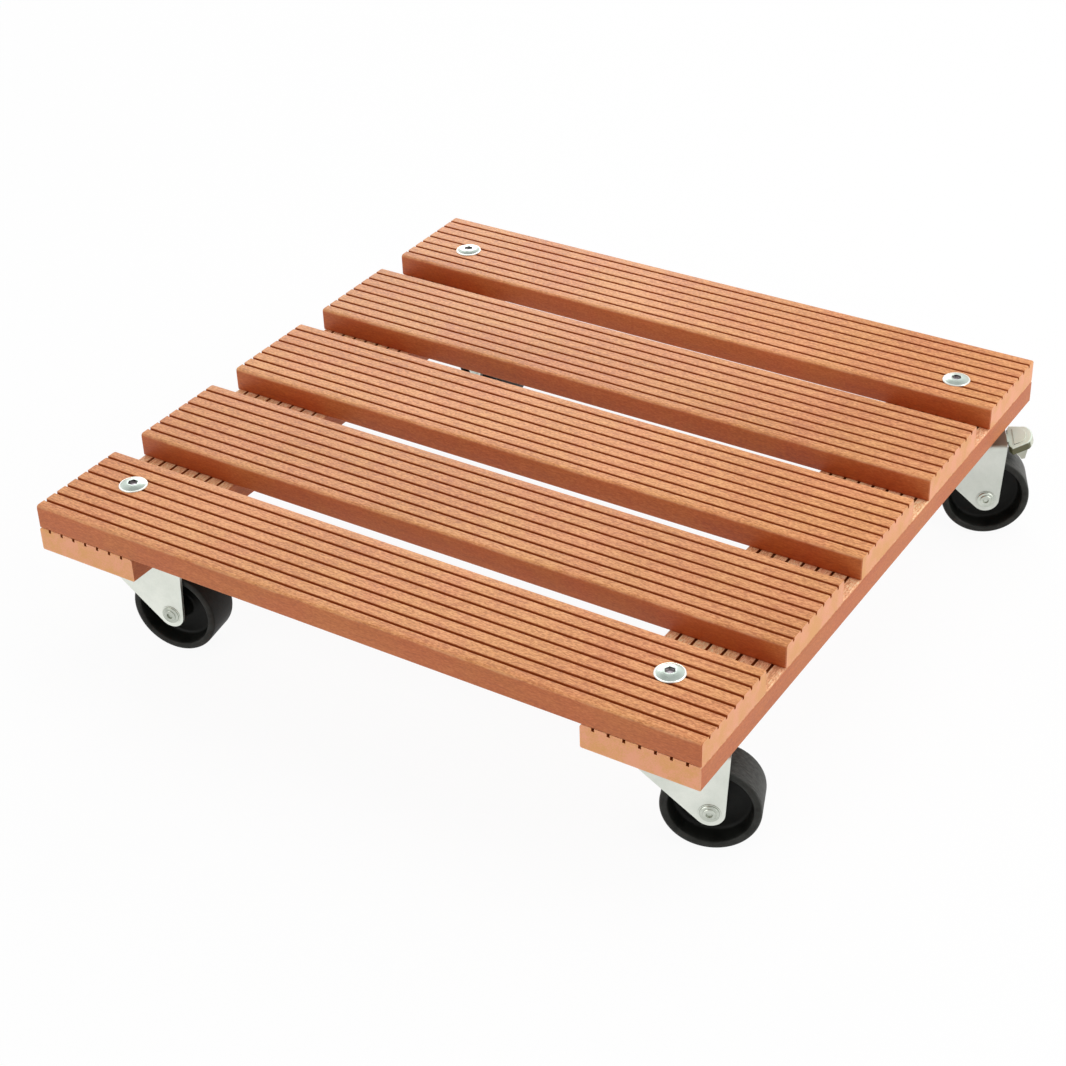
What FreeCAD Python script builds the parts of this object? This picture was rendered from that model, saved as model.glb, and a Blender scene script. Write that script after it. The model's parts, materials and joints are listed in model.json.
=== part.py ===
import FreeCAD, Part
import math
import os

# A plant dolly: five grooved slats on two battens, carried by four swivel casters.
# Millimetres. X runs along the slats, Y from front to back, Z up from the floor.
# The origin is on the floor under the middle of the deck.

vec = FreeCAD.Vector
up = vec(0, 0, 1)

# Deck planks, one extruded profile for slats and battens
slat_names = ("front_slat", "front_inner_slat", "middle_slat", "back_inner_slat", "back_slat")
slat_length = 400.0
slat_gap = 20.6
plank_width = 64.0
plank_thickness = 13.7
plank_edge_radius = 1.6
plank_base_radius = 0.8
groove_width = 1.6
groove_depth = 1.8
groove_pitch = 8.3
groove_margin = 6.3

# Casters: side along X, side along Y, shift of the bolt along X and along Y from where the
# middle lines of batten and outer slat cross, direction of the trail at rest, brake fitted
corners = {
    "front_left": (-1, -1, 0.0, 9.5, 9.9, False),
    "front_right": (1, -1, -5.8, 7.0, 21.2, False),
    "back_left": (-1, 1, 2.4, -5.7, -23.0, True),
    "back_right": (1, 1, 2.2, -10.9, 26.6, True),
}

# Corner bolts and their nuts
bolt_diameter = 8.0
bolt_clearance = 0.2
bolt_flange_diameter = 15.7
bolt_flange_thickness = 0.6
bolt_dome_diameter = 14.2
bolt_dome_bulge = 0.22
bolt_head_height = 1.8
bolt_edge_chamfer = 0.35
bolt_socket_across_flats = 5.0
bolt_socket_depth = 1.3
bolt_tail = 2.4
nut_across_flats = 13.0
nut_hex_height = 6.2
nut_collar_height = 1.6
nut_collar_wall = 1.8
thread_gap = 0.05

# Screws from below that hold the inner slats
screw_diameter = 4.0
screw_head_diameter = 8.0
screw_head_height = 2.2
screw_sink = 0.2
screw_tip_length = 3.5
screw_tip_cover = 2.3
screw_spread = 16.0
screw_hole_gap = 0.15
screw_slot_width = 1.2
screw_slot_length = 4.6
screw_slot_depth = 1.2

# Swivel bearing
ball_diameter = 4.5
ball_spacing = 1.08
ball_gap = 0.03
ball_seat_depth = 0.7
race_height = 2.0
race_margin = 0.15
cup_sheet = 1.7
cup_boss_wall = 1.1
cup_ball_gap = 0.4
cup_side_gap = 0.6
cup_skirt_gap = 0.8
cup_inner_gap = 0.1
kingpin_wall = 1.3
kingpin_flange_width = 1.5
kingpin_flange_thickness = 1.1
kingpin_seat_gap = 0.2
kingpin_press_gap = 0.03
swivel_running_gap = 0.06
swivel_end_play = 0.2
thrust_washer_thickness = 1.7
thrust_washer_margin = 1.7

# Wheel and axle
wheel_diameter = 50.0
wheel_width = 22.4
wheel_shoulder_radius = 1.8
wheel_rim_wall = 4.1
wheel_draft = 1.1
wheel_web_thickness = 3.4
hub_overhang = 0.45
hub_wall = 2.8
hub_draft = 0.7
wheel_side_gap = 0.35
wheel_running_gap = 0.05
axle_diameter = 4.8
axle_gap = 0.05
axle_bush_wall = 1.1
axle_head_diameter = 9.8
axle_head_height = 0.7
axle_head_chamfer = 0.3
axle_ring_diameter = 6.6
axle_ring_height = 0.5
axle_dimple_diameter = 2.8
axle_dimple_depth = 0.8

# Pressed fork
caster_trail = 21.3
fork_sheet = 2.0
fork_bend_inner_radius = 1.1
fork_crown_front = 26.0
fork_crown_rear_overhang = 9.6
fork_crown_clearance = 8.9
fork_leg_end_radius = 7.6
fork_boss_margin = 2.0
fork_boss_height = 0.25

# Foot brake
brake_pin_diameter = 3.0
brake_pin_gap = 0.02
brake_pin_offset = 3.9
brake_pin_overhang = 0.3
brake_running_gap = 0.05
brake_knuckle_wall = 1.4
brake_knuckle_width = 9.0
brake_side_gap = 0.3
brake_lug_sheet = 1.8
brake_lug_edge = 1.8
brake_spring_thickness = 0.6
brake_spring_width = 8.0
brake_spring_gap = 0.35
brake_spring_washer_gap = 1.4
brake_spring_overlap = 1.1
pedal_sheet = 1.7
pedal_height = 4.0
pedal_edge_radius = 1.1
pedal_tail_gap = 1.4
pedal_root_width = 18.0
pedal_width = 26.2
pedal_tip_width = 19.0
pedal_flare_length = 1.9
pedal_side_length = 9.4
pedal_tip_bulge = 3.2
pedal_pad_inset = 3.4
pedal_pad_height = 0.4
pedal_pad_edge_radius = 0.3
pedal_rise = 1.8
pedal_tilt = 14.0
shoe_gap = 1.2
shoe_bearing = 49.5
shoe_lean = 24.0
shoe_width = 12.6
cheek_waist_place = 3.7
cheek_waist_drop = 7.4

# Heights, from the floor up
wheel_radius = wheel_diameter / 2
crown_bottom = wheel_diameter + fork_crown_clearance
crown_top = crown_bottom + fork_sheet
race_top = crown_top + race_height
ball_radius = ball_diameter / 2
ball_height = race_top - ball_seat_depth + ball_radius
cup_bottom = ball_height + ball_radius + cup_ball_gap
batten_bottom = cup_bottom + cup_sheet
slat_bottom = batten_bottom + plank_thickness
deck_top = slat_bottom + plank_thickness

# Places on the deck
deck_depth = len(slat_names) * plank_width + (len(slat_names) - 1) * slat_gap
slat_pitch = plank_width + slat_gap
batten_x = (slat_length - plank_width) / 2
outer_slat_y = (deck_depth - plank_width) / 2

# Radii round the swivel axis
bolt_radius = bolt_diameter / 2
bolt_hole_radius = bolt_radius + bolt_clearance
kingpin_radius = bolt_hole_radius + kingpin_wall
kingpin_flange_radius = kingpin_radius + kingpin_flange_width
cup_recess_radius = kingpin_flange_radius + kingpin_seat_gap
cup_boss_radius = cup_recess_radius + cup_boss_wall
ball_circle_radius = cup_boss_radius + cup_inner_gap + ball_radius
race_inner_radius = ball_circle_radius - ball_radius - race_margin
race_outer_radius = ball_circle_radius + ball_radius + race_margin
cup_inner_radius = ball_circle_radius + ball_radius + cup_side_gap

# Widths across the caster
hub_length = wheel_width + 2 * hub_overhang
fork_inner_half = hub_length / 2 + wheel_side_gap
fork_outer_half = fork_inner_half + fork_sheet
fork_boss_face = fork_outer_half + fork_boss_height
fork_boss_radius = fork_leg_end_radius - fork_boss_margin
thrust_washer_radius = fork_inner_half - thrust_washer_margin

# Radii round the axle
axle_radius = axle_diameter / 2
bush_bore_radius = axle_radius + axle_gap
bush_radius = bush_bore_radius + axle_bush_wall
wheel_bore_radius = bush_radius + wheel_running_gap
hub_radius = wheel_bore_radius + hub_wall
rim_inner_radius = wheel_radius - wheel_rim_wall

# Kingpin, nut and bolt end, below the crown
thrust_washer_top = crown_bottom - swivel_end_play
thrust_washer_bottom = thrust_washer_top - thrust_washer_thickness
kingpin_bottom = thrust_washer_bottom - kingpin_flange_thickness
nut_bottom = kingpin_bottom - nut_hex_height - nut_collar_height
bolt_bottom = nut_bottom - bolt_tail

# Places along the fork, measured from the swivel axis towards the trailing side
crown_rear = caster_trail + fork_crown_rear_overhang
brake_pin_radius = brake_pin_diameter / 2
knuckle_radius = brake_pin_radius + brake_running_gap + brake_knuckle_wall
brake_pin_place = caster_trail + brake_pin_offset
brake_pin_height = crown_bottom - brake_spring_thickness - brake_spring_gap - knuckle_radius
lug_inner = brake_knuckle_width / 2 + brake_side_gap
lug_outer = lug_inner + brake_lug_sheet
lug_radius = brake_pin_radius + brake_lug_edge
pedal_top = brake_pin_height + pedal_rise
pedal_start = crown_rear + pedal_tail_gap
shoe_radius = wheel_radius + shoe_gap
shoe_place = caster_trail + shoe_radius * math.cos(math.radians(shoe_bearing))
shoe_bottom = wheel_radius + shoe_radius * math.sin(math.radians(shoe_bearing))


def face_of(points):
    """Return the flat face inside a closed run of points."""
    return Part.Face(Part.makePolygon(list(points) + [points[0]]))


def revolved(outline):
    """Turn an outline of (radius, height) pairs about the Z axis."""
    points = [vec(radius, 0, height) for radius, height in outline]
    return face_of(points).revolve(vec(0, 0, 0), up, 360)


def hexagon(across_flats, bottom, height):
    """Return an upright hexagonal prism on the Z axis."""
    corner_radius = across_flats / math.sqrt(3)
    turns = [math.radians(60 * step) for step in range(6)]
    points = [vec(corner_radius * math.cos(turn), corner_radius * math.sin(turn), bottom) for turn in turns]
    return face_of(points).extrude(vec(0, 0, height))


def upright(radius, bottom, top):
    """Return an upright cylinder on the Z axis."""
    return Part.makeCylinder(radius, top - bottom, vec(0, 0, bottom))


def crossways(radius, half_length, along, height):
    """Return a cylinder along Y, centred on Y, at a place along the fork."""
    return Part.makeCylinder(radius, 2 * half_length, vec(along, -half_length, height), vec(0, 1, 0))


def block(start, end, half_width, bottom, top):
    """Return a box centred on Y between two places along X."""
    return Part.makeBox(end - start, 2 * half_width, top - bottom, vec(start, -half_width, bottom))


def long_edges(shape, height, half_width):
    """Return the edges along X at one height and distance from the middle plane."""
    found = []
    for edge in shape.Edges:
        middle = edge.CenterOfMass
        runs_along = abs(edge.tangentAt(edge.FirstParameter).x) > 0.999
        if runs_along and abs(middle.z - height) < 0.001 and abs(abs(middle.y) - half_width) < 0.001:
            found.append(edge)
    return found


def edges_above(shape, height):
    """Return the edges that lie wholly at the top of a shape."""
    return [edge for edge in shape.Edges if edge.BoundBox.ZMin > height - 0.001]


def moved(shape, x, y, turn=0.0):
    """Return a copy turned about the Z axis and then shifted on the floor plane."""
    copy = shape.copy()
    copy.rotate(vec(0, 0, 0), up, turn)
    copy.translate(vec(x, y, 0))
    return copy


# Deck

def plank(length):
    """Return a plank along X with rounded long edges and grooves along its top."""
    half_width = plank_width / 2
    body = block(-length / 2, length / 2, half_width, 0, plank_thickness)
    body = body.makeFillet(plank_edge_radius, long_edges(body, plank_thickness, half_width))
    body = body.makeFillet(plank_base_radius, long_edges(body, 0, half_width))
    count = int((plank_width - 2 * groove_margin) / groove_pitch) + 1
    groove_bottom = plank_thickness - groove_depth
    for number in range(count):
        middle = (number - (count - 1) / 2) * groove_pitch
        groove = block(-length / 2, length / 2, groove_width / 2, groove_bottom, plank_thickness)
        groove.translate(vec(0, middle, 0))
        body = body.cut(groove)
    return body


def inner_slat_places():
    """Return the places along Y of the slats between the first and the last."""
    return [-outer_slat_y + number * slat_pitch for number in range(1, len(slat_names) - 1)]


def screw_places():
    """Return the (x, y) places of the screws: two where an inner slat crosses a batten."""
    places = []
    for y in inner_slat_places():
        for side in (-1, 1):
            for shift in (-screw_spread, screw_spread):
                places.append((side * batten_x + shift, y))
    return places


def bolt_place(corner):
    """Return the (x, y) place of the bolt at one corner."""
    side_x, side_y, shift_x, shift_y = corners[corner][:4]
    return side_x * batten_x + shift_x, side_y * outer_slat_y + shift_y


def bolt_places():
    """Return the (x, y) places of the corner bolts."""
    return [bolt_place(corner) for corner in corners]


screw_bottom = batten_bottom + screw_sink
screw_top = deck_top - groove_depth - screw_tip_cover


def slat(y):
    """Return a slat at its place on the battens, drilled for bolts or screws."""
    body = plank(slat_length)
    body.translate(vec(0, y, slat_bottom))
    bolt_hole = upright(bolt_hole_radius, slat_bottom, deck_top)
    screw_hole = upright(screw_diameter / 2 + thread_gap, slat_bottom, screw_top + thread_gap)
    for x, place in bolt_places():
        if abs(place - y) < plank_width / 2:
            body = body.cut(moved(bolt_hole, x, place))
    for x, place in screw_places():
        if abs(place - y) < plank_width / 2:
            body = body.cut(moved(screw_hole, x, place))
    return body


def screw_hole_through_batten():
    """Return the clearance hole and countersink for one screw."""
    radius = screw_diameter / 2 + screw_hole_gap
    head_radius = screw_head_diameter / 2 + screw_hole_gap
    sink_top = screw_bottom + screw_head_height
    return revolved([
        (0, batten_bottom),
        (head_radius, batten_bottom),
        (head_radius, screw_bottom),
        (radius, sink_top),
        (radius, slat_bottom),
        (0, slat_bottom),
    ])


def batten(side):
    """Return a batten across the slat ends on one side of the deck."""
    body = plank(deck_depth)
    body.rotate(vec(0, 0, 0), up, 90)
    body.translate(vec(side * batten_x, 0, batten_bottom))
    bolt_hole = upright(bolt_hole_radius, batten_bottom, slat_bottom)
    screw_hole = screw_hole_through_batten()
    for x, y in bolt_places():
        if x * side > 0:
            body = body.cut(moved(bolt_hole, x, y))
    for x, y in screw_places():
        if x * side > 0:
            body = body.cut(moved(screw_hole, x, y))
    return body


def slat_screw():
    """Return a countersunk screw with its cross slot facing the floor."""
    radius = screw_diameter / 2
    body = revolved([
        (0, screw_bottom),
        (screw_head_diameter / 2, screw_bottom),
        (radius, screw_bottom + screw_head_height),
        (radius, screw_top - screw_tip_length),
        (0, screw_top),
    ])
    slot_top = screw_bottom + screw_slot_depth
    half_length = screw_slot_length / 2
    slot = block(-half_length, half_length, screw_slot_width / 2, screw_bottom, slot_top)
    body = body.cut(slot)
    slot.rotate(vec(0, 0, 0), up, 90)
    return body.cut(slot)


def corner_bolt():
    """Return a bolt with a flanged, domed head and a hex socket."""
    flange_radius = bolt_flange_diameter / 2
    dome_radius = bolt_dome_diameter / 2
    flange_top = deck_top + bolt_flange_thickness
    head_top = deck_top + bolt_head_height
    land_radius = bolt_socket_across_flats / math.sqrt(3) + bolt_edge_chamfer
    dome_start = vec(dome_radius, 0, flange_top)
    dome_end = vec(land_radius, 0, head_top)
    bulge = (dome_start + dome_end) * 0.5 + vec(bolt_dome_bulge, 0, bolt_dome_bulge)
    lower = [
        vec(0, 0, head_top),
        vec(0, 0, bolt_bottom),
        vec(bolt_radius - bolt_edge_chamfer, 0, bolt_bottom),
        vec(bolt_radius, 0, bolt_bottom + bolt_edge_chamfer),
        vec(bolt_radius, 0, deck_top),
        vec(flange_radius, 0, deck_top),
        vec(flange_radius, 0, flange_top - bolt_edge_chamfer),
        vec(flange_radius - bolt_edge_chamfer, 0, flange_top),
        dome_start,
    ]
    edges = [Part.makeLine(start, end) for start, end in zip(lower, lower[1:])]
    edges.append(Part.Arc(dome_start, bulge, dome_end).toShape())
    edges.append(Part.makeLine(dome_end, lower[0]))
    body = Part.Face(Part.Wire(edges)).revolve(vec(0, 0, 0), up, 360)
    return body.cut(hexagon(bolt_socket_across_flats, head_top - bolt_socket_depth, bolt_socket_depth))


def lock_nut():
    """Return a self-locking nut under the kingpin: hexagon above, round collar below."""
    collar_radius = bolt_radius + nut_collar_wall
    body = hexagon(nut_across_flats, kingpin_bottom - nut_hex_height, nut_hex_height)
    body = body.fuse(upright(collar_radius, nut_bottom, kingpin_bottom)).removeSplitter()
    return body.cut(upright(bolt_radius + thread_gap, nut_bottom, kingpin_bottom))


# Casters, drawn with the swivel axis on Z and the trail along X

def bearing_cup():
    """Return the cup that lies against the batten and covers the balls."""
    recess_floor = batten_bottom - kingpin_flange_thickness
    cup_radius = cup_inner_radius + cup_sheet
    skirt_bottom = crown_top + cup_skirt_gap
    bore_radius = kingpin_radius + kingpin_press_gap
    return revolved([
        (bore_radius, recess_floor),
        (cup_recess_radius, recess_floor),
        (cup_recess_radius, batten_bottom),
        (cup_radius, batten_bottom),
        (cup_radius, skirt_bottom),
        (cup_inner_radius, skirt_bottom),
        (cup_inner_radius, cup_bottom),
        (cup_boss_radius, cup_bottom),
        (cup_boss_radius, recess_floor - cup_sheet),
        (bore_radius, recess_floor - cup_sheet),
    ])


def kingpin():
    """Return the hollow rivet that the fork swivels on."""
    upper_seat = batten_bottom - kingpin_flange_thickness
    return revolved([
        (bolt_hole_radius, kingpin_bottom),
        (kingpin_flange_radius, kingpin_bottom),
        (kingpin_flange_radius, thrust_washer_bottom),
        (kingpin_radius, thrust_washer_bottom),
        (kingpin_radius, upper_seat),
        (kingpin_flange_radius, upper_seat),
        (kingpin_flange_radius, batten_bottom),
        (bolt_hole_radius, batten_bottom),
    ])


def thrust_washer():
    """Return the washer between the fork crown and the kingpin's lower flange."""
    body = upright(thrust_washer_radius, thrust_washer_bottom, thrust_washer_top)
    return body.cut(upright(kingpin_radius + kingpin_press_gap, thrust_washer_bottom, thrust_washer_top))


def bearing_balls():
    """Return the ring of balls as a group of separate solids."""
    count = int(2 * math.pi * ball_circle_radius / (ball_diameter * ball_spacing))
    balls = []
    for number in range(count):
        turn = 2 * math.pi * number / count
        x = ball_circle_radius * math.cos(turn)
        y = ball_circle_radius * math.sin(turn)
        balls.append(Part.makeSphere(ball_radius, vec(x, y, ball_height)))
    return Part.makeCompound(balls)


def tangent_place(point, side):
    """Return where the line from a point meets the round end of the fork leg."""
    centre = vec(caster_trail, 0, wheel_radius)
    towards = centre - point
    distance = math.hypot(towards.x, towards.z)
    bearing = math.atan2(towards.z, towards.x) + side * math.asin(fork_leg_end_radius / distance)
    reach = math.sqrt(distance**2 - fork_leg_end_radius**2)
    return point + vec(reach * math.cos(bearing), 0, reach * math.sin(bearing))


def leg_outline():
    """Return the fork's side outline, a solid as wide as the fork."""
    front = vec(-fork_crown_front, 0, crown_top)
    rear = vec(crown_rear, 0, crown_top)
    front_tangent = tangent_place(front, -1)
    rear_tangent = tangent_place(rear, 1)
    lowest = vec(caster_trail, 0, wheel_radius - fork_leg_end_radius)
    edges = [
        Part.makeLine(front, rear),
        Part.makeLine(rear, rear_tangent),
        Part.Arc(rear_tangent, lowest, front_tangent).toShape(),
        Part.makeLine(front_tangent, front),
    ]
    outline = Part.Face(Part.Wire(edges))
    outline.translate(vec(0, -fork_outer_half, 0))
    return outline.extrude(vec(0, 2 * fork_outer_half, 0))


def fork(has_brake):
    """Return the pressed fork with its ball race and, for a brake, two hinge lugs."""
    leg_bottom = wheel_radius - fork_leg_end_radius
    outer = block(-fork_crown_front, crown_rear, fork_outer_half, leg_bottom, crown_top)
    bend_radius = fork_bend_inner_radius + fork_sheet
    outer = outer.makeFillet(bend_radius, long_edges(outer, crown_top, fork_outer_half))
    inner = block(-fork_crown_front, crown_rear, fork_inner_half, leg_bottom, crown_bottom)
    inner = inner.makeFillet(fork_bend_inner_radius, long_edges(inner, crown_bottom, fork_inner_half))
    body = outer.common(leg_outline()).cut(inner)
    for side in (-1, 1):
        boss = crossways(fork_boss_radius, fork_boss_height / 2, caster_trail, wheel_radius)
        boss.translate(vec(0, side * (fork_outer_half + fork_boss_height / 2), 0))
        body = body.fuse(boss)
    race = upright(race_outer_radius, crown_bottom, race_top)
    race = race.cut(upright(race_inner_radius, crown_top, race_top))
    race = race.cut(Part.makeTorus(ball_circle_radius, ball_radius + ball_gap, vec(0, 0, ball_height)))
    body = body.fuse(race)
    if has_brake:
        for side in (-1, 1):
            body = body.fuse(brake_lug(side))
        pin_hole_radius = brake_pin_radius + brake_pin_gap
        body = body.cut(crossways(pin_hole_radius, lug_outer, brake_pin_place, brake_pin_height))
    body = body.cut(upright(kingpin_radius + swivel_running_gap, crown_bottom, race_top))
    body = body.cut(crossways(axle_radius + axle_gap, fork_boss_face, caster_trail, wheel_radius))
    return body.removeSplitter()


def brake_lug(side):
    """Return one of the two ears under the crown that hold the brake pin."""
    half_sheet = brake_lug_sheet / 2
    start = brake_pin_place - lug_radius
    end = brake_pin_place + lug_radius
    ear = block(start, end, half_sheet, brake_pin_height, crown_bottom)
    ear = ear.fuse(crossways(lug_radius, half_sheet, brake_pin_place, brake_pin_height))
    ear.translate(vec(0, side * (lug_inner + half_sheet), 0))
    return ear


def about_axle(shape):
    """Lay a shape that was turned about Z on the wheel's axle."""
    shape.rotate(vec(0, 0, 0), vec(1, 0, 0), 90)
    shape.translate(vec(caster_trail, 0, wheel_radius))
    return shape


def axle_rivet():
    """Return the rivet through both fork legs, headed at both ends."""
    head_radius = axle_head_diameter / 2
    ring_radius = axle_ring_diameter / 2
    dimple_radius = axle_dimple_diameter / 2
    head_end = fork_boss_face + axle_head_height
    ring_end = head_end + axle_ring_height
    half = [
        (0, ring_end - axle_dimple_depth),
        (dimple_radius, ring_end - axle_dimple_depth),
        (dimple_radius + axle_head_chamfer, ring_end),
        (ring_radius - axle_head_chamfer, ring_end),
        (ring_radius, ring_end - axle_head_chamfer),
        (ring_radius, head_end),
        (head_radius - axle_head_chamfer, head_end),
        (head_radius, head_end - axle_head_chamfer),
        (head_radius, fork_boss_face),
        (axle_radius, fork_boss_face),
    ]
    mirrored = [(radius, -height) for radius, height in reversed(half)]
    return about_axle(revolved(half + mirrored))


def axle_bush():
    """Return the tube between the fork legs that the wheel turns on."""
    body = upright(bush_radius, -fork_inner_half, fork_inner_half)
    return about_axle(body.cut(upright(bush_bore_radius, -fork_inner_half, fork_inner_half)))


def wheel():
    """Return the wheel: rounded tread, deep dished sides, web and hub."""
    half_hub = hub_length / 2
    half_width = wheel_width / 2
    half_web = wheel_web_thickness / 2
    web_rim_radius = rim_inner_radius - wheel_draft
    web_hub_radius = hub_radius + hub_draft
    half = [
        (wheel_bore_radius, half_hub),
        (hub_radius, half_hub),
        (web_hub_radius, half_web),
        (web_rim_radius, half_web),
        (rim_inner_radius, half_width),
        (wheel_radius, half_width),
    ]
    mirrored = [(radius, -height) for radius, height in reversed(half)]
    body = revolved(half + mirrored)
    tread_edges = []
    for edge in body.Edges:
        is_round = isinstance(edge.Curve, Part.Circle)
        if is_round and abs(edge.Curve.Radius - wheel_radius) < 0.001:
            tread_edges.append(edge)
    return about_axle(body.makeFillet(wheel_shoulder_radius, tread_edges))


# Foot brake

def pedal_outline(inset, bottom, top):
    """Return the paddle's plan outline as a solid, drawn in by an inset all round."""
    flare_end = pedal_start + pedal_flare_length
    side_end = flare_end + pedal_side_length
    tip = vec(side_end + pedal_tip_bulge, 0, bottom)
    corners_near = [
        vec(side_end, -pedal_tip_width / 2, bottom),
        vec(flare_end, -pedal_width / 2, bottom),
        vec(pedal_start, -pedal_root_width / 2, bottom),
    ]
    corners_far = [vec(point.x, -point.y, bottom) for point in reversed(corners_near)]
    run = corners_near + corners_far
    edges = [Part.makeLine(first, second) for first, second in zip(run, run[1:])]
    edges.append(Part.Arc(run[-1], tip, run[0]).toShape())
    outline = Part.Face(Part.Wire(edges))
    if inset:
        outline = outline.makeOffset2D(-inset)
    return outline.extrude(vec(0, 0, top - bottom))


def brake_shoe():
    """Return the plate under the paddle that meets the tread, with a cheek at either side."""
    shoe_top = pedal_top - pedal_edge_radius
    lean = math.tan(math.radians(shoe_lean))
    thickness = pedal_sheet / math.cos(math.radians(shoe_lean))
    top_place = shoe_place + (shoe_top - shoe_bottom) * lean
    shared = [
        (shoe_place, shoe_bottom),
        (shoe_place + thickness, shoe_bottom),
        (top_place + thickness, shoe_top),
    ]
    waist = (pedal_start + cheek_waist_place, pedal_top - cheek_waist_drop)
    plate_corners = shared + [(top_place, shoe_top)]
    cheek_corners = shared + [(pedal_start + pedal_sheet, shoe_top), waist]
    plate = face_of([vec(along, -shoe_width / 2, height) for along, height in plate_corners])
    body = plate.extrude(vec(0, shoe_width, 0))
    for start in (-shoe_width / 2, shoe_width / 2 - pedal_sheet):
        cheek = face_of([vec(along, start, height) for along, height in cheek_corners])
        body = body.fuse(cheek.extrude(vec(0, pedal_sheet, 0)))
    return body


def brake_pedal():
    """Return the pedal, drawn level and then tilted up about its pin, clear of the tread."""
    half_knuckle = brake_knuckle_width / 2
    sheet_bottom = pedal_top - pedal_sheet
    tray = pedal_outline(0, pedal_top - pedal_height, pedal_top)
    tray = tray.makeFillet(pedal_edge_radius, edges_above(tray, pedal_top))
    tray = tray.cut(pedal_outline(pedal_sheet, pedal_top - pedal_height, sheet_bottom))
    pad_top = pedal_top + pedal_pad_height
    pad = pedal_outline(pedal_pad_inset, sheet_bottom, pad_top)
    pad = pad.makeFillet(pedal_pad_edge_radius, edges_above(pad, pad_top))
    knuckle = crossways(knuckle_radius, half_knuckle, brake_pin_place, brake_pin_height)
    neck = block(brake_pin_place, pedal_start + pedal_sheet, half_knuckle, sheet_bottom, pedal_top)
    body = tray.fuse([pad, knuckle, neck, brake_shoe()]).removeSplitter()
    bore_radius = brake_pin_radius + brake_running_gap
    body = body.cut(crossways(bore_radius, half_knuckle, brake_pin_place, brake_pin_height))
    body.rotate(vec(brake_pin_place, 0, brake_pin_height), vec(0, 1, 0), -pedal_tilt)
    return body


def brake_pin():
    """Return the hinge pin of the pedal."""
    return crossways(brake_pin_radius, lug_outer + brake_pin_overhang, brake_pin_place, brake_pin_height)


def brake_spring():
    """Return the leaf under the crown that bears on the pedal's knuckle."""
    start = thrust_washer_radius + brake_spring_washer_gap
    end = brake_pin_place + brake_spring_overlap
    leaf_bottom = crown_bottom - brake_spring_thickness
    return block(start, end, brake_spring_width / 2, leaf_bottom, crown_bottom)


def group(shape, places):
    """Return copies of one shape at several places as separate solids."""
    return Part.makeCompound([moved(shape, x, y) for x, y in places])


def build():
    """Return every piece at its place, by name."""
    pieces = {}
    for number, name in enumerate(slat_names):
        pieces[name] = slat(-outer_slat_y + number * slat_pitch)
    pieces["left_batten"] = batten(-1)
    pieces["right_batten"] = batten(1)
    pieces["slat_screws"] = group(slat_screw(), screw_places())
    pieces["caster_bolts"] = group(corner_bolt(), bolt_places())
    pieces["lock_nuts"] = group(lock_nut(), bolt_places())
    for corner in corners:
        x, y = bolt_place(corner)
        trail_turn, has_brake = corners[corner][4:]
        caster = {
            "cup": bearing_cup(),
            "kingpin": kingpin(),
            "thrust_washer": thrust_washer(),
            "bearing_balls": bearing_balls(),
            "fork": fork(has_brake),
            "axle_rivet": axle_rivet(),
            "axle_bush": axle_bush(),
            "wheel": wheel(),
        }
        if has_brake:
            caster["brake_pedal"] = brake_pedal()
            caster["brake_pin"] = brake_pin()
            caster["brake_spring"] = brake_spring()
        for name, shape in caster.items():
            pieces[f"{corner}_{name}"] = moved(shape, x, y, trail_turn)
    return pieces


os.makedirs("parts", exist_ok=True)
for name, shape in build().items():
    shape.exportStep(f"parts/{name}.step")
    state = "valid" if shape.isValid() else "INVALID"
    print(name, len(shape.Solids), "solids", round(shape.Volume, 1), "mm3", state)
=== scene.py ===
import json
import math

import bpy
from mathutils import Matrix, Vector


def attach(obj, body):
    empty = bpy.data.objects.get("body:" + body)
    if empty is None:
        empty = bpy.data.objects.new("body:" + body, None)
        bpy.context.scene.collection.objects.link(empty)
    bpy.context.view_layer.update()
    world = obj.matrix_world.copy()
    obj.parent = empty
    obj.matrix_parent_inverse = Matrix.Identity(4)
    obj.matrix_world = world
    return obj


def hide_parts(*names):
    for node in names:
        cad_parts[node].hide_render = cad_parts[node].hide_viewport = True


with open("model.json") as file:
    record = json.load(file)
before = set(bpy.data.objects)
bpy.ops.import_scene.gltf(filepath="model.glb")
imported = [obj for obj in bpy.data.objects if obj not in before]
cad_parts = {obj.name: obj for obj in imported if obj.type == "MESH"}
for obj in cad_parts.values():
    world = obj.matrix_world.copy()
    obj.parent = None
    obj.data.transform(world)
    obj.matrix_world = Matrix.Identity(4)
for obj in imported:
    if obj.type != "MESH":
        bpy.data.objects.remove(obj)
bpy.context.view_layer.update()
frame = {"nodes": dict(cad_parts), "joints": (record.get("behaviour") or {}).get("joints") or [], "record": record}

mm = 0.001
nodes = frame["nodes"]
cornerNames = ("front_left", "front_right", "back_left", "back_right")
rollJoints = {joint["child"]: joint for joint in frame["joints"] if joint["name"].endswith("_roll")}


# small helpers for node trees: a value may be a number, a colour or another node's output
def putValue(tree, socket, value):
    if isinstance(value, bpy.types.NodeSocket):
        tree.links.new(value, socket)
    else:
        socket.default_value = value


def addNode(tree, kind, values=None, **settings):
    made = tree.nodes.new(kind)
    for name, value in settings.items():
        setattr(made, name, value)
    for key, value in (values or {}).items():
        putValue(tree, made.inputs[key], value)
    return made


def calc(tree, operation, *values):
    return addNode(tree, "ShaderNodeMath", dict(enumerate(values)), operation=operation).outputs[0]


def split(tree, vector):
    return addNode(tree, "ShaderNodeSeparateXYZ", {0: vector}).outputs


def combine(tree, x, y, z):
    return addNode(tree, "ShaderNodeCombineXYZ", {0: x, 1: y, 2: z}).outputs[0]


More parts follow.
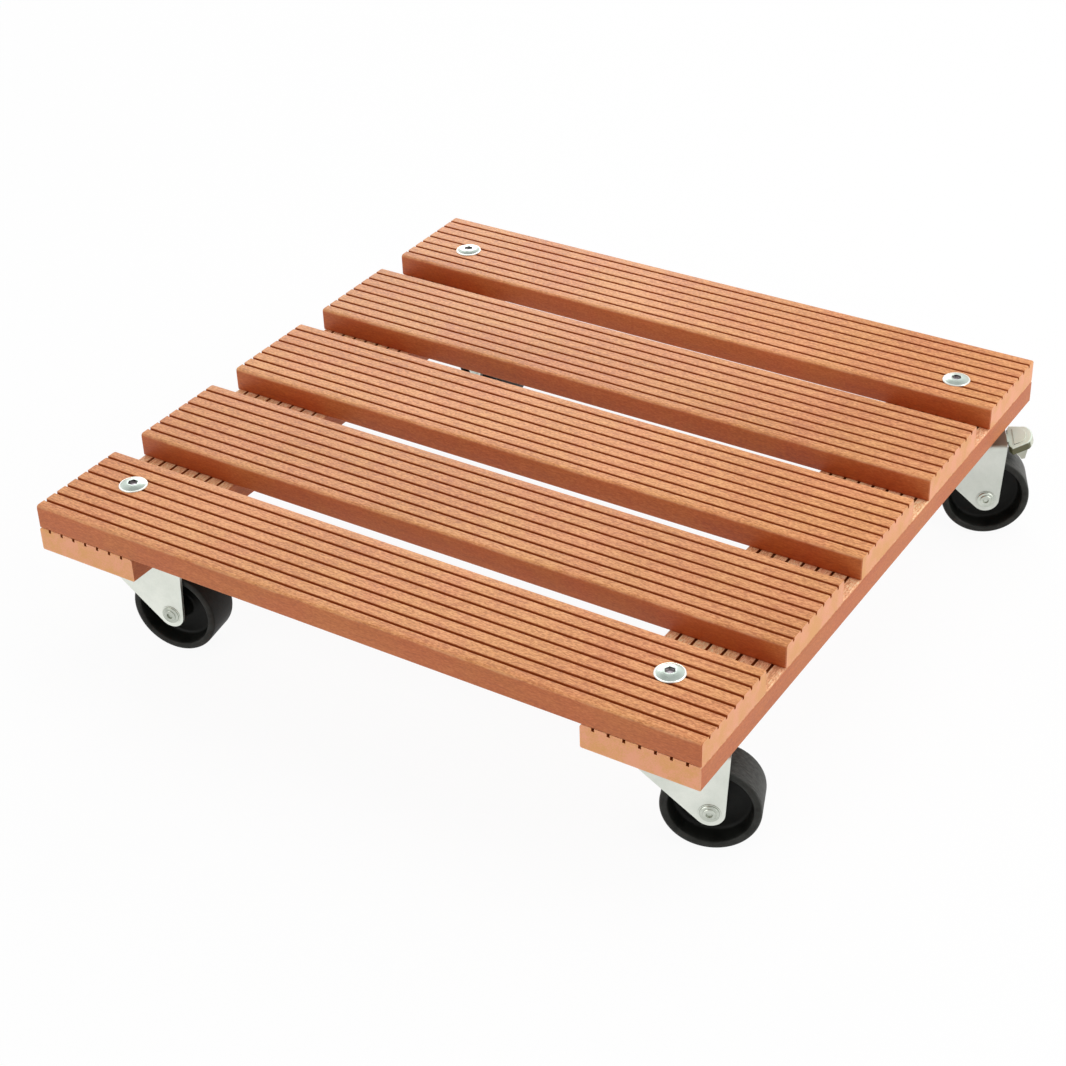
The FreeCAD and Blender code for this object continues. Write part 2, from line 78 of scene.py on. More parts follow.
def spread(tree, value, low, high, newLow=0.0, newHigh=1.0):
    values = {"Value": value, "From Min": low, "From Max": high, "To Min": newLow, "To Max": newHigh}
    return addNode(tree, "ShaderNodeMapRange", values, interpolation_type="SMOOTHSTEP").outputs[0]


def stretch(tree, point, scale, turn=(0, 0, 0)):
    values = {"Vector": point, "Scale": scale, "Rotation": turn}
    return addNode(tree, "ShaderNodeMapping", values).outputs[0]


def noise(tree, point, scale, detail=3.0, roughness=0.55):
    values = {"Vector": point, "Scale": scale, "Detail": detail, "Roughness": roughness}
    return addNode(tree, "ShaderNodeTexNoise", values).outputs[0]


def mixColour(tree, factor, first, second, mode="MIX"):
    values = {0: factor, 6: first, 7: second}
    made = addNode(tree, "ShaderNodeMix", values, data_type="RGBA", blend_type=mode, clamp_result=True)
    return made.outputs[2]


def tint(tree, colour, tone):
    return mixColour(tree, 1.0, colour, (*tone, 1.0), "MULTIPLY")


def paint(tree, mask, colour, tone):
    return mixColour(tree, mask, colour, (*tone, 1.0))


def ramp(tree, factor, places, tones):
    made = addNode(tree, "ShaderNodeValToRGB", {"Fac": factor})
    elements = made.color_ramp.elements
    while len(elements) < len(tones):
        elements.new(0.5)
    for element, place, tone in zip(elements, places, tones):
        element.position = place
        element.color = (*tone, 1.0)
    return made.outputs[0]


def newFinish(name):
    material = bpy.data.materials.new(name)
    material.use_nodes = True
    shader = material.node_tree.nodes["Principled BSDF"]
    return material, material.node_tree, shader


def objectPoint(tree):
    return addNode(tree, "ShaderNodeTexCoord").outputs["Object"]


def attributeValue(tree, name):
    return addNode(tree, "ShaderNodeAttribute", attribute_name=name).outputs["Fac"]


def openness(tree, reach):
    return addNode(tree, "ShaderNodeAmbientOcclusion", {"Distance": reach}, samples=8).outputs["AO"]


def addBump(tree, shader, height, strength, distance):
    bump = addNode(tree, "ShaderNodeBump", {"Height": height, "Strength": strength, "Distance": distance})
    tree.links.new(bump.outputs[0], shader.inputs["Normal"])


# terracotta wood-plastic composite: brushed top, smoother sides, sawn ends, grooves painted dark as painted shade
plankLook = {
    "deepTone": (0.500, 0.168, 0.055),
    "midTone": (0.68, 0.266, 0.091),
    "paleTone": (0.83, 0.390, 0.160),
    "tonePlaces": (0.40, 0.55, 0.69),       # where these three lie in the grain
    "fibreStretch": (130, 950, 600),        # noise scales along, across and through the plank
    "fleckStretch": (520, 1450, 1500),
    "streakStretch": (9, 120, 160),         # marks of the die
    "blotchScale": 11.0,
    "fibreShare": 0.55,
    "fleckShare": 0.80,
    "blotchShare": 0.24,
    "streakShare": 0.16,
    "toneDrift": 0.03,                      # from slat to slat
    "hueDrift": 0.004,
    "hueScale": 36.0,
    "topFrom": (0.25, 0.85),                # upward part of the normal, from skin to brushed top
    "skinTint": (0.78, 0.54, 0.40),         # the sides keep the smooth skin of the die
    "skinGrain": 0.45,                      # and show less grain than the brushed top
    "shadeTint": (0.82, 0.60, 0.34),        # painted shade: in the narrow gaps the skin is painted darker
    "shadeReach": 30 * mm,
    "shadeRange": (0.42, 0.78),
    "edgeTone": (0.80, 0.400, 0.190),
    "edgeWear": 0.45,
    "edgeScale": 90.0,
    "edgeRange": (0.40, 0.62),
    "sawnTone": (0.80, 0.352, 0.205),
    "sawnMottle": (0.71, 0.335, 0.112),
    "sawnFrom": (0.7, 0.95),
    "mottleScale": 75.0,
    "mottleRange": (0.38, 0.62),
    "grooveShadeTone": (0.38, 0.076, 0.0),
    "grooveRoughness": 0.35,
    "roughness": 0.40,
    "fibreRoughness": 0.22,
    "relief": 0.35,
    "reliefDepth": 0.25 * mm,
}
slatTints = {"top": (1.0, 1.0, 1.0), "sawn": (1.05, 1.04, 1.03)}
battenTintsAndPaintedLight = {"top": (1.46, 1.98, 3.0), "sawn": (1.17, 1.17, 1.14)}     # painted light: the tops are painted paler to lift the shade of the slats


def makePlankFinish(name, grainTurn, sawnAxis, grooveShadeMask, tints):
    look = plankLook
    material, tree, shader = newFinish(name)
    coordinates = addNode(tree, "ShaderNodeTexCoord")
    point = coordinates.outputs["Object"]
    facing = split(tree, coordinates.outputs["Normal"])
    upward = spread(tree, facing["Z"], *look["topFrom"])

    # grain: each layer lies around one half, so together they lie around the middle tone
    along = stretch(tree, point, (1, 1, 1), (0, 0, grainTurn))
    fibre = noise(tree, stretch(tree, along, look["fibreStretch"]), 1.0, 5.0, 0.62)
    fleck = noise(tree, stretch(tree, along, look["fleckStretch"]), 1.0, 2.0)
    streak = noise(tree, stretch(tree, along, look["streakStretch"]), 1.0, 4.0, 0.6)
    blotch = noise(tree, point, look["blotchScale"], 2.0)
    layers = ((fibre, look["fibreShare"]), (fleck, look["fleckShare"]), (blotch, look["blotchShare"]))
    grain = -0.5 * sum(share for layer, share in layers)
    for layer, share in layers:
        grain = calc(tree, "MULTIPLY_ADD", layer, share, grain)
    strength = calc(tree, "MULTIPLY_ADD", upward, 1.0 - look["skinGrain"], look["skinGrain"])
    streakBase = look["tonePlaces"][1] - look["streakShare"] / 2
    streak = calc(tree, "MULTIPLY_ADD", streak, look["streakShare"], streakBase)
    grain = calc(tree, "MULTIPLY_ADD", grain, strength, streak)
    colour = ramp(tree, grain, look["tonePlaces"], (look["deepTone"], look["midTone"], look["paleTone"]))

    # slow drift of hue, and of lightness from slat to slat
    drift = look["hueDrift"]
    hue = spread(tree, noise(tree, point, look["hueScale"], 2.0), 0.3, 0.7, 0.5 - drift, 0.5 + drift)
    drift = look["toneDrift"]
    value = spread(tree, attributeValue(tree, "plankTone"), 0.0, 1.0, 1.0 - drift, 1.0 + drift)
    values = {"Hue": hue, "Value": value, "Color": colour}
    colour = addNode(tree, "ShaderNodeHueSaturation", values).outputs[0]

    # skin on the sides, with painted shade in the narrow gaps; brushed top, rubbed upper edges
    skin = tint(tree, colour, look["skinTint"])
    lit = spread(tree, openness(tree, look["shadeReach"]), *look["shadeRange"])
    skin = mixColour(tree, lit, tint(tree, skin, look["shadeTint"]), skin)
    # for the battens the top tint is painted light, against the shade of the slats
    colour = mixColour(tree, upward, skin, tint(tree, colour, tints["top"]))
    rubbed = spread(tree, noise(tree, point, look["edgeScale"], 4.0), *look["edgeRange"])
    rubbed = calc(tree, "MULTIPLY", rubbed, look["edgeWear"])
    rubbed = calc(tree, "MULTIPLY", attributeValue(tree, "edge"), rubbed)
    colour = paint(tree, rubbed, colour, look["edgeTone"])

    # sawn ends, and painted shade in the grooves
    sawn = spread(tree, calc(tree, "ABSOLUTE", facing[sawnAxis]), *look["sawnFrom"])
    mottle = calc(tree, "MULTIPLY", fleck, 0.4)
    mottle = calc(tree, "MULTIPLY_ADD", noise(tree, point, look["mottleScale"], 3.0), 0.6, mottle)
    mottle = spread(tree, mottle, *look["mottleRange"])
    sawnColour = paint(tree, mottle, (*look["sawnTone"], 1.0), look["sawnMottle"])
    colour = mixColour(tree, sawn, colour, tint(tree, sawnColour, tints["sawn"]))
    inGroove = calc(tree, "MULTIPLY", grooveShadeMask(tree, point), calc(tree, "SUBTRACT", 1.0, sawn))
    colour = paint(tree, inGroove, colour, look["grooveShadeTone"])
    tree.links.new(colour, shader.inputs["Base Color"])

    rough = calc(tree, "MULTIPLY_ADD", fibre, look["fibreRoughness"], look["roughness"])
    rough = calc(tree, "MULTIPLY_ADD", inGroove, look["grooveRoughness"], rough)
    tree.links.new(rough, shader.inputs["Roughness"])
    relief = calc(tree, "MULTIPLY_ADD", fleck, 0.5, fibre)
    addBump(tree, shader, relief, look["relief"], look["reliefDepth"])
    return material


def slatGrooveShadeMask(tree, point):
    return attributeValue(tree, "groove")


# painted shade in the batten's grooves between the slats
battenGrooves = {
    "middle": 168 * mm,         # of either batten, from the middle of the deck
    "halfSpread": 26.2 * mm,
    "darkFrom": 82.45 * mm,     # heights, from just under the batten's top
    "darkAt": 82.1 * mm,
    "darkTo": 80.4 * mm,
}


def battenGrooveShadeMask(tree, point):
    place = split(tree, point)
    fromMiddle = calc(tree, "SUBTRACT", calc(tree, "ABSOLUTE", place["X"]), battenGrooves["middle"])
    within = calc(tree, "LESS_THAN", calc(tree, "ABSOLUTE", fromMiddle), battenGrooves["halfSpread"])
    below = spread(tree, place["Z"], battenGrooves["darkFrom"], battenGrooves["darkAt"])
    above = calc(tree, "GREATER_THAN", place["Z"], battenGrooves["darkTo"])
    return calc(tree, "MULTIPLY", within, calc(tree, "MULTIPLY", below, above))


slatFinish = makePlankFinish("slatComposite", 0.0, "X", slatGrooveShadeMask, slatTints)
battenFinish = makePlankFinish("battenComposite", math.pi / 2, "Y", battenGrooveShadeMask, battenTintsAndPaintedLight)


# masks for painted light and shade: each gives 1 where the mark lies
def facingUp(tree, low=0.55, high=0.95):
    normal = addNode(tree, "ShaderNodeTexCoord").outputs["Normal"]
    return spread(tree, split(tree, normal)["Z"], low, high)


def facingAside(tree):
    return calc(tree, "SUBTRACT", 1.0, facingUp(tree))


def pointHeight(tree):
    return split(tree, objectPoint(tree))["Z"]


# plated and plain steels: mottled plating, fine scratches in the roughness, grime and painted shade in the corners
steelLook = {
    "speckScale": 2600.0,
    "speckShare": 0.25,
    "scratchStretch": (260, 1900, 420),
    "scratchTurn": (0.4, 0.2, 0.7),
    "tonePlaces": (0.34, 0.62),
    "grimeAndShadeTint": (0.34, 0.35, 0.31),
    "grimeAndShadeReach": 1.6 * mm,
    "grimeAndShadeRange": (0.30, 0.80),
    "scratchRoughness": 0.16,
    "blotchRoughness": 0.12,
    "relief": 0.12,
    "reliefDepth": 0.06 * mm,
}
plainSteels = {     # light tone, dark tone, roughness, scale of the blotches
    "bearingSteel": ((0.60, 0.61, 0.62), (0.46, 0.47, 0.48), 0.22, 90.0),
    "springSteel": ((0.26, 0.27, 0.29), (0.15, 0.15, 0.16), 0.34, 90.0),
    "rivetZinc": ((0.62, 0.65, 0.58), (0.42, 0.45, 0.39), 0.32, 160.0),
    "boltZinc": ((0.70, 0.79, 0.72), (0.54, 0.62, 0.55), 0.30, 160.0),
    # the cups are painted dark: painted shade under the battens
    "shadedCupZinc": ((0.40, 0.40, 0.36), (0.26, 0.26, 0.23), 0.42, 120.0),
}


def makeSteelFinish(name, light, dark, roughness, blotchScale, metallic=1.0, paintedLightMarks=()):
    look = steelLook
    material, tree, shader = newFinish(name)
    point = objectPoint(tree)
    blotch = noise(tree, point, blotchScale, 4.0, 0.6)
    speck = noise(tree, point, look["speckScale"], 2.0)
    scratch = noise(tree, stretch(tree, point, look["scratchStretch"], look["scratchTurn"]), 1.0, 3.0)
    tone = calc(tree, "MULTIPLY", blotch, 1.0 - look["speckShare"])
    tone = calc(tree, "MULTIPLY_ADD", speck, look["speckShare"], tone)
    colour = ramp(tree, tone, look["tonePlaces"], (dark, light))
    for mask, markTone in paintedLightMarks:
        colour = paint(tree, mask(tree), colour, markTone)
    # darker where the surface is hemmed in: partly grime, partly painted shade
    clearOfGrimeAndShade = spread(tree, openness(tree, look["grimeAndShadeReach"]), *look["grimeAndShadeRange"])
    colour = mixColour(tree, clearOfGrimeAndShade, tint(tree, colour, look["grimeAndShadeTint"]), colour)
    tree.links.new(colour, shader.inputs["Base Color"])
    shader.inputs["Metallic"].default_value = metallic
    smoothest = roughness - (look["scratchRoughness"] + look["blotchRoughness"]) / 2
    rough = calc(tree, "MULTIPLY_ADD", blotch, look["blotchRoughness"], smoothest)
    rough = calc(tree, "MULTIPLY_ADD", scratch, look["scratchRoughness"], rough)
    tree.links.new(rough, shader.inputs["Roughness"])
    addBump(tree, shader, calc(tree, "ADD", scratch, speck), look["relief"], look["reliefDepth"])
    return material


# corner bolts: painted highlight on the rim of the flange, painted shade and grime in the socket
boltLook = {
    "rimTone": (0.93, 0.95, 0.90),
    "rimBelow": 96.84 * mm,       # heights above the floor
    "floorTone": (0.52, 0.47, 0.50),
    "floorBelow": 96.75 * mm,
    "paintedWallTone": (0.14, 0.13, 0.14),
    "wallAbove": 96.85 * mm,
}


def flangeRimHighlight(tree):
    return calc(tree, "LESS_THAN", pointHeight(tree), boltLook["rimBelow"])


def socketFloorShade(tree):
    below = calc(tree, "LESS_THAN", pointHeight(tree), boltLook["floorBelow"])
    return calc(tree, "MULTIPLY", below, facingUp(tree, 0.90, 0.98))


def socketWallShade(tree):
    above = calc(tree, "GREATER_THAN", pointHeight(tree), boltLook["wallAbove"])
    return calc(tree, "MULTIPLY", above, calc(tree, "SUBTRACT", 1.0, facingUp(tree, 0.1, 0.4)))


# painted highlight on the flange rim, painted shade and grime in the socket
boltPaintedLight = (
    (flangeRimHighlight, boltLook["rimTone"]),
    (socketFloorShade, boltLook["floorTone"]),
    (socketWallShade, boltLook["paintedWallTone"]),
)


# zinc plating: each fork has its own tone, darker towards the back right; the crowns are painted darker as painted
# shade under the battens
zincLook = {
    "light": (0.86, 0.885, 0.815),
    "dark": (0.72, 0.755, 0.685),
    "roughness": 0.46,
    "blotchScale": 55.0,
    "metallic": 0.9,
    "hiddenTone": 0.92,     # nuts, screws and kingpins
    "crownShade": (0.38, 0.35, 0.28),
}
forkTones = {"front_left": 1.0, "front_right": 0.92, "back_left": 0.86, "back_right": 0.78}


def makeZinc(name, tone, paintedLightMarks=()):
    look = zincLook
    light, dark = (tuple(tone * part for part in look[key]) for key in ("light", "dark"))
    return makeSteelFinish(name, light, dark, look["roughness"], look["blotchScale"], look["metallic"],
                           paintedLightMarks)


# brake pedals: the sides are painted darker as painted shade, and the outer walls dark as painted reflection
pedalLook = {
    "light": (0.86, 1.0, 0.90),
    "dark": (0.80, 0.96, 0.83),
    "roughness": 0.55,
    "blotchScale": 120.0,
    "metallic": 0.1,
    "paintedAsideTone": (0.58, 0.60, 0.50),
    "paintedWallTone": (0.10, 0.10, 0.045),
    "wallFrom": 7.2 * mm,     # from the middle of the hinge pin, along it
    "wallAt": 8.2 * mm,
}


def pedalWallReflection(joint):
    def mask(tree):
        ends = {0: objectPoint(tree), 1: joint["pos_m"]}
        fromPin = addNode(tree, "ShaderNodeVectorMath", ends, operation="SUBTRACT").outputs["Vector"]
        ends = {0: fromPin, 1: joint["axis"]}
        across = addNode(tree, "ShaderNodeVectorMath", ends, operation="DOT_PRODUCT").outputs["Value"]
        across = calc(tree, "ABSOLUTE", across)
        outside = spread(tree, across, pedalLook["wallFrom"], pedalLook["wallAt"])
        return calc(tree, "MULTIPLY", outside, facingAside(tree))
    return mask


def makePedalFinish(joint):
    look = pedalLook
    paintedLightMarks = ((facingAside, look["paintedAsideTone"]), (pedalWallReflection(joint), look["paintedWallTone"]))
    return makeSteelFinish(joint["name"] + "PedalZinc", look["light"], look["dark"], look["roughness"],
                           look["blotchScale"], look["metallic"], paintedLightMarks)


# thrust washers
nylonLook = {
    "dark": (0.66, 0.64, 0.56),
    "light": (0.76, 0.75, 0.69),
    "tonePlaces": (0.35, 0.65),
    "cloudScale": 240.0,
    "roughness": 0.35,
    "cloudRoughness": 0.2,
    "relief": 0.1,
    "reliefDepth": 0.1 * mm,
}


def makeNylonFinish():
    look = nylonLook
    material, tree, shader = newFinish("washerNylon")
    cloud = noise(tree, objectPoint(tree), look["cloudScale"], 3.0)
    colour = ramp(tree, cloud, look["tonePlaces"], (look["dark"], look["light"]))
    tree.links.new(colour, shader.inputs["Base Color"])
    rough = calc(tree, "MULTIPLY_ADD", cloud, look["cloudRoughness"], look["roughness"])
    tree.links.new(rough, shader.inputs["Roughness"])
    addBump(tree, shader, cloud, look["relief"], look["reliefDepth"])
    return material


# black wheels: dull dish; the rim and tread are painted lighter, partly wear and partly painted sheen
wheelLook = {
    "dishTones": ((0.0075, 0.0077, 0.0068), (0.0140, 0.0145, 0.0125)),
    "rimWearAndSheenTones": ((0.020, 0.0205, 0.0180), (0.042, 0.043, 0.039)),
    "cloudPlaces": (0.35, 0.65),
    "treadWearAndSheenTones": ((0.060, 0.060, 0.056), (0.150, 0.150, 0.140)),
    "scuffPlaces": (0.38, 0.66),
    "rimFrom": (20.4 * mm, 21.4 * mm),       # distances from the axle
    "treadFrom": (24.2 * mm, 24.9 * mm),
    "cloudScale": 130.0,
    "gritScale": 2400.0,
    "scuffStretch": (320, 320, 1900),
    "ringFineness": 9000.0,                  # turning marks, radians per metre
    "ringShare": 0.10,
    "specular": 0.11,
    "roughness": 0.34,
    "treadRoughness": 0.10,
    "cloudRoughness": 0.16,
    "relief": 0.14,
    "reliefDepth": 0.08 * mm,
}


def makeWheelFinish():
    look = wheelLook
    material, tree, shader = newFinish("wheelPlastic")
    point = addNode(tree, "ShaderNodeAttribute", attribute_name="wheelPoint").outputs["Vector"]
    place = split(tree, point)
    squares = [calc(tree, "MULTIPLY", place[axis], place[axis]) for axis in ("X", "Y")]
    radius = calc(tree, "SQRT", calc(tree, "ADD", *squares))
    rim = spread(tree, radius, *look["rimFrom"])
    tread = spread(tree, radius, *look["treadFrom"])
    cloud = noise(tree, point, look["cloudScale"], 4.0, 0.6)
    grit = noise(tree, point, look["gritScale"], 2.0)
    scuff = noise(tree, stretch(tree, point, look["scuffStretch"]), 1.0, 4.0, 0.65)
    rings = calc(tree, "SINE", calc(tree, "MULTIPLY", radius, look["ringFineness"]))
    # rim and tread lighter than the dish: wear, and painted sheen
    dish = ramp(tree, cloud, look["cloudPlaces"], look["dishTones"])
    rubbed = ramp(tree, cloud, look["cloudPlaces"], look["rimWearAndSheenTones"])
    wornAndSheen = ramp(tree, scuff, look["scuffPlaces"], look["treadWearAndSheenTones"])
    wornAndSheen = mixColour(tree, attributeValue(tree, "treadWearAndLight"), dish, wornAndSheen)
    colour = mixColour(tree, tread, mixColour(tree, rim, dish, rubbed), wornAndSheen)
    tree.links.new(colour, shader.inputs["Base Color"])
    shader.inputs["Specular IOR Level"].default_value = look["specular"]
    rough = calc(tree, "MULTIPLY_ADD", tread, look["treadRoughness"], look["roughness"])
    rough = calc(tree, "MULTIPLY_ADD", cloud, look["cloudRoughness"], rough)
    tree.links.new(rough, shader.inputs["Roughness"])
    relief = calc(tree, "MULTIPLY_ADD", scuff, tread, grit)
    relief = calc(tree, "MULTIPLY_ADD", rings, look["ringShare"], relief)
    addBump(tree, shader, relief, look["relief"], look["reliefDepth"])
    return material


wheelFinish = makeWheelFinish()
slotFinishes = {
    "zinc_steel": makeZinc("zincPlate", zincLook["hiddenTone"]),
    "bearing_steel": makeSteelFinish("bearingSteel", *plainSteels["bearingSteel"]),
    "spring_steel": makeSteelFinish("springSteel", *plainSteels["springSteel"]),
    "washer_nylon": makeNylonFinish(),
}
# these go before the finish of the slot, for every node with the ending
ownFinishes = {
    "_batten": battenFinish,
    "caster_bolts": makeSteelFinish("boltZinc", *plainSteels["boltZinc"], paintedLightMarks=boltPaintedLight),
    "_axle_rivet": makeSteelFinish("rivetZinc", *plainSteels["rivetZinc"]),
    "_cup": makeSteelFinish("shadedCupZinc", *plainSteels["shadedCupZinc"]),
}
for corner, tone in forkTones.items():
    # painted shade on the upward faces of the fork, its crown under the batten
    paintedLightMarks = ((facingUp, zincLook["crownShade"]),)
    ownFinishes[corner + "_fork"] = makeZinc(corner + "_forkZinc", tone, paintedLightMarks)
for joint in frame["joints"]:
    if joint["name"].endswith("_brake"):
        ownFinishes[joint["name"] + "_pedal"] = makePedalFinish(joint)
print("finishes ready:", len(bpy.data.materials))


# helpers for geometry trees
def newTree(name, sizes):
    tree = bpy.data.node_groups.new(name, "GeometryNodeTree")
    tree.interface.new_socket("Geometry", in_out="OUTPUT", socket_type="NodeSocketGeometry")
    kinds = {int: "NodeSocketInt", float: "NodeSocketFloat", tuple: "NodeSocketVector"}
    for key, value in sizes.items():
        tree.interface.new_socket(key, in_out="INPUT", socket_type=kinds[type(value)])
    entry = tree.nodes.new("NodeGroupInput")
    return tree, {key: entry.outputs[key] for key in sizes}


def halved(tree, value):
    return calc(tree, "MULTIPLY", value, 0.5)


def pick(tree, index, choices):
    made = addNode(tree, "GeometryNodeIndexSwitch", data_type="FLOAT")
    while len(made.index_switch_items) < len(choices):
        made.index_switch_items.new()
    putValue(tree, made.inputs["Index"], index)
    for number, choice in enumerate(choices):
        putValue(tree, made.inputs[number + 1], choice)
    return made.outputs[0]


def store(tree, geometry, name, value, kind="FLOAT", domain="POINT"):
    made = addNode(tree, "GeometryNodeStoreNamedAttribute", data_type=kind, domain=domain)
    putValue(tree, made.inputs["Geometry"], geometry)
    made.inputs["Name"].default_value = name
    putValue(tree, made.inputs["Value"], value)
    return made.outputs[0]


def movePoints(tree, geometry, place):
    values = {"Geometry": geometry, "Position": place}
    return addNode(tree, "GeometryNodeSetPosition", values).outputs[0]


def drawCurve(tree, line, place, cyclic):
    curve = addNode(tree, "GeometryNodeMeshToCurve", {"Mesh": movePoints(tree, line, place)}).outputs[0]
    values = {"Geometry": curve, "Cyclic": cyclic}
    return addNode(tree, "GeometryNodeSetSplineCyclic", values).outputs[0]


def closeTree(tree, geometry, finish, creaseAngle):
    realized = addNode(tree, "GeometryNodeRealizeInstances", {"Geometry": geometry}).outputs[0]
    # the profiles run clockwise, which leaves the faces inside out
    outward = addNode(tree, "GeometryNodeFlipFaces", {"Mesh": realized}).outputs[0]
    smooth = addNode(tree, "GeometryNodeSetShadeSmooth", {"Geometry": outward}).outputs[0]
    angle = tree.nodes.new("GeometryNodeInputMeshEdgeAngle").outputs["Unsigned Angle"]
    sharp = calc(tree, "GREATER_THAN", angle, math.radians(creaseAngle))
    marked = store(tree, smooth, "sharp_edge", sharp, "BOOLEAN", "EDGE")
    done = addNode(tree, "GeometryNodeSetMaterial", {"Geometry": marked, "Material": finish}).outputs[0]
    treeEnd = tree.nodes.new("NodeGroupOutput")
    tree.links.new(done, treeEnd.inputs["Geometry"])


def growPiece(name, tree, sizes):
    piece = bpy.data.objects.new(name, bpy.data.meshes.new(name))
    bpy.context.collection.objects.link(piece)
    modifier = piece.modifiers.new("grow", "NODES")
    modifier.node_group = tree
    sockets = {item.name: item.identifier for item in tree.interface.items_tree if item.in_out == "INPUT"}
    for key, value in sizes.items():
        modifier[sockets[key]] = value
    depsgraph = bpy.context.evaluated_depsgraph_get()
    grown = piece.evaluated_get(depsgraph)
    mesh = bpy.data.meshes.new_from_object(grown, preserve_all_data_layers=True, depsgraph=depsgraph)
    piece.modifiers.clear()
    piece.data = mesh
    mesh.name = name
    return piece


# the five deck slats, one grooved plank profile drawn out and repeated
slatSizes = {
    "Length": 400 * mm,
    "Width": 64 * mm,
    "Thickness": 13.7 * mm,
    "Edge Radius": 1.6 * mm,
    "Base Radius": 0.8 * mm,
    "Groove Count": 7,
    "Groove Pitch": 8.3 * mm,
    "Groove Width": 1.6 * mm,
    "Groove Depth": 1.8 * mm,
    "Groove Lip": 0.25 * mm,
    "Groove Round": 0.45 * mm,
    "End Bevel": 0.5 * mm,
    "Slat Count": 5,
    "Slat Pitch": 84.6 * mm,
    "Slat Middle Height": 89.35 * mm,
    "Tone Seed": 4,
}
slatCrease = 35                            # degrees
grooveSteps = 8                            # profile points in one groove
cornerSteps = 6                            # profile points in one rounded edge
grooveShadeMarks = (0.0, 0.35, 1.0, 1.0)        # painted shade from the lip to the bottom


